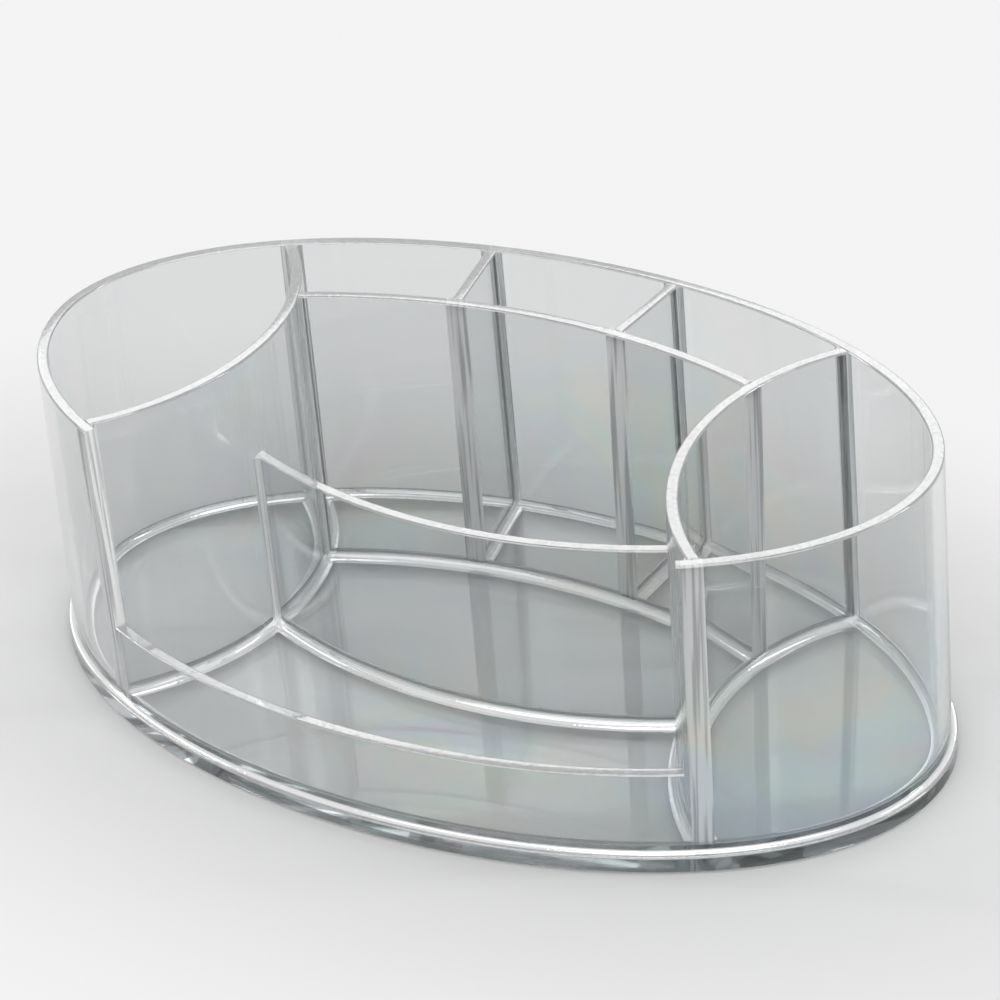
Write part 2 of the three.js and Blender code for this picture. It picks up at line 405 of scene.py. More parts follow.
def new_object(name: str, mesh: bmesh.types.BMesh) -> bpy.types.Object:
    """Turns a bmesh into an object in the scene and frees it.

    Args:
        name: Name of the object and of its mesh.
        mesh: The finished bmesh.

    Returns:
        The object, at the origin.
    """
    data = bpy.data.meshes.new(name)
    mesh.to_mesh(data)
    mesh.free()
    made = bpy.data.objects.new(name, data)
    bpy.context.scene.collection.objects.link(made)
    return made


def new_acrylic(name: str, mesh: bmesh.types.BMesh) -> bpy.types.Object:
    """Turns a bmesh into an object with an empty material slot for each area.

    Booleans keep the areas of all the faces only where every object has all the slots.

    Args:
        name: Name of the object and of its mesh.
        mesh: The finished bmesh.

    Returns:
        The object, at the origin.
    """
    made = new_object(name, mesh)
    for _ in Area:
        made.data.materials.append(None)
    return made


def new_cutter(name: str, mesh: bmesh.types.BMesh) -> bpy.types.Object:
    """Turns a bmesh into a tool that leaves joint faces, painted near white as a highlight, where it cuts.

    Args:
        name: Name of the tool.
        mesh: The finished bmesh.

    Returns:
        The tool, at the origin.
    """
    mark(mesh.faces, Area.JOINT)
    return new_acrylic(name, mesh)


def work(body: bpy.types.Object, joinery: Joinery, *tools: bpy.types.Object) -> None:
    """Cuts tools out of a body, or welds them to it.

    Args:
        body: The object that is worked.
        joinery: What the tools do to it.
        tools: Closed objects, which stay as they are.
    """
    for tool in tools:
        step = body.modifiers.new("work", "BOOLEAN")
        step.operation = joinery.value
        step.solver = "EXACT"
        step.object = tool
    depsgraph = bpy.context.evaluated_depsgraph_get()
    shaped = bpy.data.meshes.new_from_object(body.evaluated_get(depsgraph))
    body.modifiers.clear()
    rough, body.data = body.data, shaped
    bpy.data.meshes.remove(rough)


def discard(*tools: bpy.types.Object) -> None:
    """Removes tools from the scene, with their meshes."""
    for tool in tools:
        bpy.data.meshes.remove(tool.data)


def mirrored(body: bpy.types.Object, name: str) -> bpy.types.Object:
    """Copies an object to the other side of the line X = 0.

    Args:
        body: The object.
        name: Name of the copy.

    Returns:
        The copy, with its faces outwards.
    """
    data = body.data.copy()
    data.name = name
    data.transform(Matrix.Scale(-1, 4, (1, 0, 0)))
    data.flip_normals()
    copy = bpy.data.objects.new(name, data)
    bpy.context.scene.collection.objects.link(copy)
    return copy


@dataclass(frozen=True)
class FaceEnd:
    """Where one face of a wall ends on its neighbour's face.

    Attributes:
        trace: Point of the wall's face at a distance along it, growing towards the neighbour.
        length: A distance along it that lies inside the neighbour.
        gap: Room between a point at a height and the neighbour's face, negative inside it.
        cove_radius: Radius of the fillet in the corner.
    """

    trace: Callable[[float], Vector]
    length: float
    gap: Gap
    cove_radius: float = COVE_RADIUS

    def corner(self, height: float) -> tuple[Vector, Vector]:
        """Finds the end of the face at a height.

        Args:
            height: Height above the plate's top.

        Returns:
            The corner, and the unit vector from it back along the wall.
        """
        along = halve(0.0, self.length, lambda distance: self.gap(self.trace(distance), height) > 0)
        here = self.trace(along)
        return here, (self.trace(along - PROBE) - here).normalized()

    def along_neighbour(self, here: Vector, height: float, side: Vector) -> Vector:
        """Unit vector along the neighbour's face.

        Args:
            here: A point on that face.
            height: Its height above the plate's top.
            side: Rough direction that the vector takes.

        Returns:
            The direction on the plan.
        """
        slope_x, slope_y = (
            self.gap(here + PROBE * axis, height) - self.gap(here, height)
            for axis in (Vector((1, 0, 0)), Vector((0, 1, 0)))
        )
        along = Vector((-slope_y, slope_x, 0)).normalized()
        return along if along.dot(side) > 0 else -along


def oval_gap(point: Vector, height: float) -> float:
    """Room between a point at a height and the tall wall's inner face."""
    return WALL_LEAN * (1 - height / TALL_HEIGHT) - WALL_THICKNESS - RIM.outwards(point, height)


def right_pocket_gap(point: Vector, _height: float) -> float:
    """Room between a point and the right pocket wall's face towards the middle."""
    return POCKET_FACE.outwards(point)


def left_pocket_gap(point: Vector, _height: float) -> float:
    """Room between a point and the left pocket wall's face towards the middle."""
    return POCKET_FACE.outwards(Vector((-point.x, point.y, 0)))


def rear_gap(point: Vector, _height: float) -> float:
    """Room between a point and the rear pocket wall's back face."""
    return REAR_FACE.outwards(point) - WALL_THICKNESS


def cove(end: FaceEnd, side: Vector, height: float) -> bmesh.types.BMesh:
    """Makes the concave fillet in the upright corner where a face ends.

    It is an angle strip sunk into both walls, with its inner corner rounded.

    Args:
        end: The end of the face.
        side: Rough direction from the wall's middle to this face.
        height: Height of the lower wall above the plate's top.

    Returns:
        The strip.
    """
    top = height - COVE_BELOW_TOP
    low, back = end.corner(0.0)
    high, _ = end.corner(top)
    along = end.along_neighbour(low, 0.0, side)
    into_wall = (back * along.dot(back) - along).normalized()
    into_neighbour = (along * back.dot(along) - back).normalized()
    reach = end.cove_radius / math.tan(back.angle(along) / 2)
    length = reach * COVE_LENGTH_SHARE
    inner = low + COVE_SINK * (into_wall + into_neighbour) + Vector((0, 0, PLATE_TOP - BOND))
    strip = bmesh.new()
    corners = [strip.verts.new(point) for point in (
        inner,
        inner + length * back,
        inner + length * back + COVE_ARM * into_wall,
        inner - COVE_ARM * (back + along),
        inner + length * along + COVE_ARM * into_neighbour,
        inner + length * along,
    )]
    strip.faces.new(corners)
    round_corner(strip, corners[0], reach, COVE_STEPS)
    raise_faces(strip, high - low + Vector((0, 0, top + BOND)))
    # The cove takes the fillets' finish, painted bright as a highlight
    mark(strip.faces, Area.SEAM)
    return strip


def add_coves(wall: bpy.types.Object, ends: list[tuple[FaceEnd, FaceEnd]], height: float) -> None:
    """Welds the corner fillets to a wall, before its ends are trimmed.

    Args:
        wall: The wall.
        ends: The two faces of each of its ends.
        height: Height of the lower wall above the plate's top.
    """
    for first, second in ends:
        across = first.corner(0.0)[0] - second.corner(0.0)[0]
        for end, side in ((first, across), (second, -across)):
            strip = new_acrylic("cove", cove(end, side, height))
            work(wall, Joinery.WELD, strip)
            discard(strip)


@dataclass(frozen=True)
class NodeBench:
    """A node tree that is filled node by node.

    Wherever a node takes a value, it also takes another node's output, and is then linked to it.
    """

    tree: bpy.types.NodeTree

    def add(self, kind: str, inputs: dict[str | int, object], **settings: object) -> bpy.types.Node:
        """Adds a node.

        Args:
            kind: Its type, as in ShaderNodeMath without the ShaderNode.
            inputs: Values or outputs for its inputs, by their names or places.
            settings: Its other settings.

        Returns:
            The node.
        """
        node = self.tree.nodes.new("ShaderNode" + kind)
        for setting, value in settings.items():
            setattr(node, setting, value)
        for place, value in inputs.items():
            if isinstance(value, bpy.types.NodeSocket):
                self.tree.links.new(value, node.inputs[place])
            else:
                node.inputs[place].default_value = value
        return node

    def object_place(self) -> bpy.types.NodeSocket:
        """Place of the surface on the piece's own axes."""
        return self.add("TexCoord", {}).outputs["Object"]

    def stretched(self, place: object, scale: tuple, turn: tuple = (0.0, 0.0, 0.0)) -> bpy.types.NodeSocket:
        """A place scaled and turned, so that a pattern on it is stretched."""
        mapping = self.add("Mapping", {"Vector": place, "Scale": scale, "Rotation": turn})
        return mapping.outputs["Vector"]

    def noise(self, place: object, scale: object, detail: float, swirl: float = 0.0) -> bpy.types.NodeSocket:
        """Soft random values from 0 to 1 at a place."""
        inputs = {"Vector": place, "Scale": scale, "Detail": detail, "Distortion": swirl}
        return self.add("TexNoise", inputs).outputs["Fac"]

    def remap(self, value: object, span: tuple[float, float], top: float = 1.0) -> bpy.types.NodeSocket:
        """A value spread from one span to 0 up to a top, and held there."""
        inputs = {"Value": value, "From Min": span[0], "From Max": span[1], "To Max": top}
        return self.add("MapRange", inputs).outputs["Result"]

    def math(self, operation: str, *values: object) -> bpy.types.NodeSocket:
        """The result of a sum on up to three values."""
        return self.add("Math", dict(enumerate(values)), operation=operation).outputs["Value"]

    def mix(self, share: object, first: object, second: object) -> bpy.types.NodeSocket:
        """A colour between two others."""
        inputs = {"Factor": share, MIX_FIRST: first, MIX_SECOND: second}
        return self.add("Mix", inputs, data_type="RGBA").outputs[MIX_RESULT]


def new_group(name: str, inputs: dict[str, float | Colour], outputs: dict[str, str]) -> bpy.types.NodeTree:
    """Makes a shader node group with only its two interface nodes.

    Args:
        name: Its name.
        inputs: Number and colour inputs with their defaults.
        outputs: Outputs with their socket types.

    Returns:
        The group.
    """
    group = bpy.data.node_groups.new(name, "ShaderNodeTree")
    for label, default in inputs.items():
        kind = "NodeSocketFloat" if isinstance(default, float) else "NodeSocketColor"
        group.interface.new_socket(label, in_out="INPUT", socket_type=kind).default_value = default
    for label, kind in outputs.items():
        group.interface.new_socket(label, in_out="OUTPUT", socket_type=kind)
    group.nodes.new("NodeGroupInput")
    group.nodes.new("NodeGroupOutput")
    return group


@dataclass(frozen=True)
class UprightRuns:
    """Fine streaks that run upwards, as along a cut or cemented edge."""

    scale: tuple[float, float, float] = (900.0, 900.0, 25.0)
    detail: float = 1.0

    def values(self, bench: NodeBench, place: bpy.types.NodeSocket) -> bpy.types.NodeSocket:
        """The streaks' random values from 0 to 1."""
        return bench.noise(bench.stretched(place, self.scale), 1.0, self.detail)


@dataclass(frozen=True)
class StressTint:
    """Effect on colour: faint rainbow bands of moulding stress, and grey streaks painted into joints and
    edges as shade in their painted highlight.

    A scale is the fineness of a noise, and a span is the part of its values over which its
    effect fades in. Bands show only in patches.
    """

    hues: tuple[tuple[float, Colour], ...] = (
        (0.30, (1.0, 0.72, 0.80, 1.0)),
        (0.42, (1.0, 0.92, 0.62, 1.0)),
        (0.52, (0.70, 0.98, 0.78, 1.0)),
        (0.62, (0.62, 0.86, 1.0, 1.0)),
        (0.74, (0.86, 0.70, 1.0, 1.0)),
    )
    band_scale: float = 30.0
    band_detail: float = 1.0
    band_swirl: float = 1.2
    patch_scale: float = 14.0
    patch_span: tuple[float, float] = (0.5, 0.72)
    runs: UprightRuns = UprightRuns()
    run_span: tuple[float, float] = (0.47, 0.62)
    # Painted shade: the grey of the dark streaks painted into the bright joints and edges
    grey: Colour = (0.20, 0.21, 0.22, 1.0)

    def group(self) -> bpy.types.NodeTree:
        """Builds the node group.

        Returns:
            A group that turns a clear tint into the colour with its bands and streaks.
        """
        inputs = {"Clear": WHITE, "Strength": 0.0, "Streaks": 0.0}
        group = new_group("Stress Tint", inputs, {"Colour": "NodeSocketColor"})
        bench = NodeBench(group)
        given = group.nodes["Group Input"].outputs
        place = bench.object_place()
        bands = bench.noise(place, self.band_scale, self.band_detail, self.band_swirl)
        rainbow = bench.add("ValToRGB", {"Fac": bands})
        rainbow.color_ramp.interpolation = "EASE"
        for position, _ in self.hues[1:-1]:
            rainbow.color_ramp.elements.new(position)
        for element, (position, colour) in zip(rainbow.color_ramp.elements, self.hues):
            element.position, element.color = position, colour
        patches = bench.remap(bench.noise(place, self.patch_scale, 0.0), self.patch_span)
        amount = bench.math("MULTIPLY", patches, given["Strength"])
        tinted = bench.mix(amount, given["Clear"], rainbow.outputs["Color"])
        # Painted shade: grey upright streaks laid over the tint
        streaks = bench.remap(self.runs.values(bench, place), self.run_span)
        depth = bench.math("MULTIPLY", streaks, given["Streaks"])
        streaked = bench.mix(depth, tinted, self.grey)
        group.links.new(streaked, group.nodes["Group Output"].inputs["Colour"])
        return group


@dataclass(frozen=True)
class Handling:
    """Effect on gloss and relief: moulded waviness, scuffs and smudges, and upright streaks.

    A scale is the fineness of a noise, a span is the part of its values over which its effect
    fades in, and a depth is the roughness that it then adds.
    """

    smudge_scale: float = 38.0
    smudge_detail: float = 3.0
    smudge_span: tuple[float, float] = (0.5, 0.8)
    smudge_depth: float = 0.06
    scratch_scale: tuple[float, float, float] = (900.0, 60.0, 500.0)
    scratch_turn: tuple[float, float, float] = (0.3, 0.2, 0.6)
    scratch_detail: float = 1.0
    scratch_span: tuple[float, float] = (0.66, 0.8)
    scratch_depth: float = 0.12
    wave_scale: float = 22.0
    runs: UprightRuns = UprightRuns()

    def group(self) -> bpy.types.NodeTree:
        """Builds the node group.

        Returns:
            A group that gives a roughness and the height of a relief.
        """
        inputs = {"Scuffs": 0.0, "Polish": 0.0, "Streaks": 0.0}
        outputs = {"Roughness": "NodeSocketFloat", "Height": "NodeSocketFloat"}
        group = new_group("Handling", inputs, outputs)
        bench = NodeBench(group)
        given = group.nodes["Group Input"].outputs
        place = bench.object_place()
        smudges = bench.remap(
            bench.noise(place, self.smudge_scale, self.smudge_detail), self.smudge_span, self.smudge_depth
        )
        across = bench.stretched(place, self.scratch_scale, self.scratch_turn)
        scratches = bench.remap(
            bench.noise(across, 1.0, self.scratch_detail), self.scratch_span, self.scratch_depth
        )
        wear = bench.math("ADD", scratches, smudges)
        roughness = bench.math("MULTIPLY_ADD", wear, given["Scuffs"], given["Polish"])
        waves = bench.noise(place, self.wave_scale, 0.0)
        height = bench.math("MULTIPLY_ADD", self.runs.values(bench, place), given["Streaks"], waves)
        result = group.nodes["Group Output"].inputs
        group.links.new(roughness, result["Roughness"])
        group.links.new(height, result["Height"])
        return group


@dataclass(frozen=True)
class AcrylicFinish:
    """Finish of one area of clear acrylic.

    Attributes:
        name: Name of its material.
        tint: Colour of what shines through or off it.
        transmission: Share of it that is clear.
        polish: Roughness where it is clean.
        scuffs: Strength of its scuffs and smudges.
        silver: Share of it that mirrors, as an edge does that light leaves along the wall.
        coat: Strength of a gloss over the rest.
        streaks: Strength of the upright streaks in its relief.
        grey_streaks: Strength of the grey upright streaks painted into its colour, a painted shade.
        stress: Strength of the rainbow bands.
        ior: Refractive index.
        waviness: Strength of the relief.
        wave_depth: Depth of the relief.
        depth_tint: Colour of light that has run far through it.
        depth_density: How soon that happens, for each metre.
        shade: Share of the lamps' light that it lets through to what it stands on.
    """

    name: str
    tint: Colour
    transmission: float
    polish: float
    scuffs: float
    silver: float = 0.0
    coat: float = 0.0
    streaks: float = 0.0
    grey_streaks: float = 0.0
    stress: float = 0.20
    ior: float = 1.491
    waviness: float = 0.12
    wave_depth: float = 0.25 * MM
    depth_tint: Colour = (0.50, 0.55, 0.57, 1.0)
    depth_density: float = 8.0
    shade: Colour = (0.94, 0.943, 0.945, 1.0)

    def material(self, tints: bpy.types.NodeTree, handling: bpy.types.NodeTree) -> bpy.types.Material:
        """Builds the material.

        Args:
            tints: The group of stress tints.
            handling: The group of waviness and scuffs.

        Returns:
            Acrylic that bends light and lets soft light through to what stands under it.
        """
        made = bpy.data.materials.new(self.name)
        made.use_nodes = True
        made.node_tree.nodes.clear()
        bench = NodeBench(made.node_tree)
        colours = {"Clear": self.tint, "Strength": self.stress, "Streaks": self.grey_streaks}
        tinted = bench.add("Group", colours, node_tree=tints)
        marks = {"Scuffs": self.scuffs, "Polish": self.polish, "Streaks": self.streaks}
        handled = bench.add("Group", marks, node_tree=handling)
        waves = bench.add("Bump", {
            "Strength": self.waviness, "Distance": self.wave_depth, "Height": handled.outputs["Height"],
        })
        acrylic = bench.add("BsdfPrincipled", {
            "Base Color": tinted.outputs["Colour"],
            "Roughness": handled.outputs["Roughness"],
            "Normal": waves.outputs["Normal"],
            "IOR": self.ior,
            "Transmission Weight": self.transmission,
            "Metallic": self.silver,
            "Coat Weight": self.coat,
        })
        shade = bench.add("BsdfTransparent", {"Color": self.shade})
        path = bench.add("LightPath", {})
        for_lamps = bench.add("MixShader", {
            0: path.outputs["Is Shadow Ray"], 1: acrylic.outputs["BSDF"], 2: shade.outputs["BSDF"],
        })
        depth = bench.add("VolumeAbsorption", {"Color": self.depth_tint, "Density": self.depth_density})
        bench.add("OutputMaterial", {
            "Surface": for_lamps.outputs["Shader"], "Volume": depth.outputs["Volume"],
        })
        return made


WALL_FACE = AcrylicFinish(
    "clear acrylic walls", (0.83, 0.838, 0.842, 1.0), transmission=1.0, polish=0.010, scuffs=0.35,
)
PLATE_FACE = AcrylicFinish(
    "clear acrylic plate", (0.83, 0.84, 0.845, 1.0), transmission=1.0, polish=0.012, scuffs=0.7,
)
# Wall tops and plate edges: real gloss, plus a white matt share and strong coat that paint a highlight along
# them, with grey streaks painted in as shade
EDGE_WITH_PAINTED_HIGHLIGHT = AcrylicFinish(
    "edge with painted highlight", HIGHLIGHT_WHITE, transmission=0.80, polish=0.06, scuffs=0.4, silver=0.20, coat=1.0,
    streaks=0.25, grey_streaks=0.15, stress=0.05,
)
# Foot fillets, corner coves and the plate's ledge: a painted highlight, from a white matt share and a mirror
# share that stand in for light gathered in the fillets
FILLET_WITH_PAINTED_HIGHLIGHT = AcrylicFinish(
    "fillet with painted highlight", HIGHLIGHT_WHITE, transmission=0.60, polish=0.04, scuffs=0.6, silver=0.5, coat=1.0,
    streaks=1.5, stress=0.05,
)
# Faces where walls are cut to meet: nearly matt white, a painted highlight for the bright junction bands,
# with grey streaks painted in as shade
JOINT_WITH_PAINTED_HIGHLIGHT = AcrylicFinish(
    "joint with painted highlight", HIGHLIGHT_WHITE, transmission=0.15, polish=0.35, scuffs=0.6, grey_streaks=0.55, stress=0.08,
)


@dataclass(frozen=True)
class Acrylic:
    """The materials of a piece, one for each area."""

    face: bpy.types.Material
    edge: bpy.types.Material
    seam: bpy.types.Material
    joint: bpy.types.Material

    def dress(self, piece: bpy.types.Object, node: str) -> None:
        """Smooths a piece, finishes its areas and lets it stand for its node.

        Args:
            piece: The finished shape, with its joints and corner fillets marked.
            node: The frame's node that it replaces.
        """
        data = piece.data
        data.shade_smooth()
        data.set_sharp_from_angle(angle=SMOOTH_BELOW)
        flats = piece.modifiers.new("flats stay flat", "WEIGHTED_NORMAL")
        flats.keep_sharp = True
        for area, finish in zip(Area, (self.face, self.edge, self.seam, self.joint)):
            data.materials[area.value] = finish
        # Faces along the tops and up-facing faces of the feet take the finishes painted bright: a painted
        # highlight on the top edges and foot fillets
        edge_above = max(vertex.co.z for vertex in data.vertices) - TOP_EDGE_ROUND
        foot_below = PLATE_TOP + FOOT_EDGE + FOOT_FILLET
        for face in data.polygons:
            if face.center.z > edge_above and node != PLATE_NODE:
                face.material_index = Area.EDGE.value
            elif PLATE_TOP < face.center.z < foot_below and face.normal.z > FOOT_TILT:
                face.material_index = Area.SEAM.value
        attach(piece, BODY)
        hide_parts(node)
        LOG.info("%s: %d faces", piece.name, len(data.polygons))


@dataclass
class BasePlate:
    """Oval plate under the walls, with softened edges.

    Attributes:
        acrylic: Its materials.
        outwards: Reach of its side beyond the rim.
        ledge: Width of the ledge on its top that is painted bright as a highlight, up to under the outer
            wall's foot.
    """

    acrylic: Acrylic
    outwards: float = WALL_LEAN + PLATE_LEDGE
    ledge: float = PLATE_LEDGE - PLATE_EDGE_ROUND + OUTSIDE_FOOT_FILLET / 2

    def build(self) -> None:
        """Builds the plate from a disc that is bent onto the oval."""
        mesh = bmesh.new()
        bmesh.ops.create_circle(
            mesh, cap_ends=True, segments=PLATE_STEPS, radius=RIM.half_length + self.outwards
        )
        RIM.bend(mesh)
        raise_faces(mesh, Vector((0, 0, PLATE_TOP)))
        edges = [edge for edge in mesh.edges if edge.verts[0].co.z == edge.verts[1].co.z]
        bmesh.ops.bevel(
            mesh, geom=edges, offset=PLATE_EDGE_ROUND, offset_type="OFFSET", segments=TOP_ROUND_STEPS,
            profile=0.5, affect="EDGES", material=-1,
        )
        # Rounded edges and the ledge take finishes painted bright: a painted highlight round the plate
        mark([face for face in mesh.faces if self.is_round(face)], Area.EDGE)
        top = max(mesh.faces, key=lambda face: face.calc_center_median().z)
        ledge = bmesh.ops.inset_region(mesh, faces=[top], thickness=self.ledge, use_even_offset=True)
        mark(ledge["faces"], Area.SEAM)
        self.acrylic.dress(new_acrylic("acrylic_base_plate", mesh), PLATE_NODE)

    def is_round(self, face: bmesh.types.BMFace) -> bool:
        """Tells whether a face is a facet of the plate's rounded edges."""
        return len(face.verts) == 4 and abs(face.normal.z) > EDGE_ROUND_TILT


@dataclass
class OvalWalls:
    """The leaning walls on the oval: the tall one round the ends and rear, and the low front."""

    acrylic: Acrylic
    section: WallSection = WallSection(
        outer=0.0, inner=-WALL_THICKNESS, height=TALL_HEIGHT, outer_fillet=OUTSIDE_FOOT_FILLET,
        lean=WALL_LEAN,
    )

    def cutter(self) -> bpy.types.Object:
        """Builds the tool that trims what meets the walls' inner face.

        Returns:
            A ring from that face to well outside the walls.
        """
        wide = WallSection(
            outer=WALL_LEAN + 2 * CUT_OVERRUN, inner=self.section.inner, height=TALL_HEIGHT,
            lean=WALL_LEAN,
        )
        return new_cutter("oval_cutter", sweep_rim(wide.cutter_outline(), 0.0, 2 * math.pi))

    def build_tall(self) -> None:
        """Builds the tall wall."""
        ring = sweep_rim(self.section.outline(), TALL_END, math.pi - 2 * TALL_END)
        self.acrylic.dress(new_acrylic("acrylic_outer_wall", ring), "outer_wall")

    def build_front(self, pocket_cutters: tuple[bpy.types.Object, bpy.types.Object]) -> None:
        """Builds the low front wall, a lower slice of the same leaning wall.

        Args:
            pocket_cutters: Tools in the place of the two pocket walls.
        """
        lean = WALL_LEAN * FRONT_HEIGHT / TALL_HEIGHT
        shift = WALL_LEAN - lean
        low = WallSection(
            outer=shift, inner=shift - WALL_THICKNESS, height=FRONT_HEIGHT,
            outer_fillet=OUTSIDE_FOOT_FILLET, lean=lean,
        )
        overlap = BOND / RIM.speed(TALL_END)
        ring = sweep_rim(low.outline(), math.pi - TALL_END - overlap, math.pi + 2 * (TALL_END + overlap))
        wall = new_acrylic("acrylic_front_wall", ring)
        work(wall, Joinery.CUT, *pocket_cutters)
        self.acrylic.dress(wall, "front_wall")


@dataclass
class PocketWalls:
    """The two tall arcs that close the pockets at the ends and bulge towards the middle."""

    acrylic: Acrylic
    section: WallSection = WallSection(outer=0.0, inner=-WALL_THICKNESS, height=TALL_HEIGHT)

    @property
    def half_turn(self) -> float:
        """Angle from the middle of an arc to its end, with an overrun to be trimmed.

        Returns:
            The angle in radians.
        """
        crossing = RIM.point(CROSSING, -WALL_THICKNESS)
        middle = POCKET_FACE.centre.x - crossing.x
        return math.atan2(-crossing.y, middle) + CUT_OVERRUN / POCKET_FACE.radius

    def swept(self, outline: bmesh.types.BMesh) -> bmesh.types.BMesh:
        """Sweeps an outline along the right pocket's arc."""
        return sweep(outline, POCKET_FACE, math.pi - self.half_turn, 2 * self.half_turn)

    def space_cutters(self) -> tuple[bpy.types.Object, bpy.types.Object]:
        """Builds the two tools that trim what meets the arcs from the middle.

        Returns:
            The right one and the left one, each filling most of a pocket.
        """
        deep = WallSection(outer=0.0, inner=-POCKET_FACE.radius * POCKET_SPACE_SHARE, height=TALL_HEIGHT)
        right = new_cutter("right_pocket_space", self.swept(deep.cutter_outline()))
        return right, mirrored(right, "left_pocket_space")

    def face_end(self, face: Arc, way: int) -> FaceEnd:
        """End of one face of the right arc.

        Args:
            face: The face's arc.
            way: -1 for its rear end, 1 for its front end.

        Returns:
            The end, with the smaller corner fillet at the front.
        """
        return FaceEnd(
            lambda along: face.point(math.pi + way * along / face.radius),
            face.radius * self.half_turn, oval_gap, COVE_RADIUS if way < 0 else WALL_END_COVE_RADIUS,
        )

    def ends(self) -> list[tuple[FaceEnd, FaceEnd]]:
        """The faces of the right arc where they meet the tall wall, rear end first."""
        inner = POCKET_FACE.offset(-WALL_THICKNESS)
        return [(self.face_end(POCKET_FACE, way), self.face_end(inner, way)) for way in (-1, 1)]

    def build(self, oval_cutter: bpy.types.Object) -> None:
        """Builds both arcs.

        Args:
            oval_cutter: Tool in the place of the oval walls.
        """
        right = new_acrylic("acrylic_right_pocket_wall", self.swept(self.section.outline()))
        add_coves(right, self.ends(), TALL_HEIGHT)
        work(right, Joinery.CUT, oval_cutter)
        left = mirrored(right, "acrylic_left_pocket_wall")
        self.acrylic.dress(right, "right_pocket_wall")
        self.acrylic.dress(left, "left_pocket_wall")


@dataclass
class CrossWall:
    """An arc wall between the two pocket walls.

    Attributes:
        acrylic: Its materials.
        node: The node that it replaces.
        face: Arc of its front face.
        section: Its section, with x measured outwards from the arc.
        middle: Angle of the arc at the middle of the wall.
    """

    acrylic: Acrylic
    node: str
    face: Arc
    section: WallSection
    middle: float

    @property
    def half_turn(self) -> float:
        """Angle from the middle to an end that lies well inside a pocket."""
        return math.asin(ARC_REACH_X / self.face.radius)

    def swept(self, outline: bmesh.types.BMesh) -> bmesh.types.BMesh:
        """Sweeps an outline along the wall's arc."""
        return sweep(outline, self.face, self.middle - self.half_turn, 2 * self.half_turn)

    def cutter(self) -> bpy.types.Object:
        """Builds the tool that trims what meets the wall."""
        return new_cutter(f"{self.node}_cutter", self.swept(self.section.cutter_outline()))

    def face_end(self, offset: float, way: float, gap: Gap) -> FaceEnd:
        """End of one face.

        Args:
            offset: Distance of the face from the wall's arc.
            way: -1 or 1, the way that angles grow towards the end.
            gap: Room in front of the neighbour.

        Returns:
            The end.
        """
        face = self.face.offset(offset)
        return FaceEnd(
            lambda along: face.point(self.middle + way * along / face.radius),
            face.radius * self.half_turn, gap,
        )

    def ends(self) -> list[tuple[FaceEnd, FaceEnd]]:
        """The faces where they meet the pocket walls.

        Returns:
            The outer and the inner face's end at the right, and then at the left.
        """
        rightwards = -math.sin(self.middle)
        return [
            (self.face_end(self.section.outer, way, gap), self.face_end(self.section.inner, way, gap))
            for way, gap in ((rightwards, right_pocket_gap), (-rightwards, left_pocket_gap))
        ]

    def build(self, pocket_cutters: tuple[bpy.types.Object, bpy.types.Object]) -> None:
        """Builds the wall.

        Args:
            pocket_cutters: Tools in the place of the two pocket walls.
        """
        wall = new_acrylic(f"acrylic_{self.node}", self.swept(self.section.outline()))
        add_coves(wall, self.ends(), self.section.height)
        work(wall, Joinery.CUT, *pocket_cutters)
        self.acrylic.dress(wall, self.node)


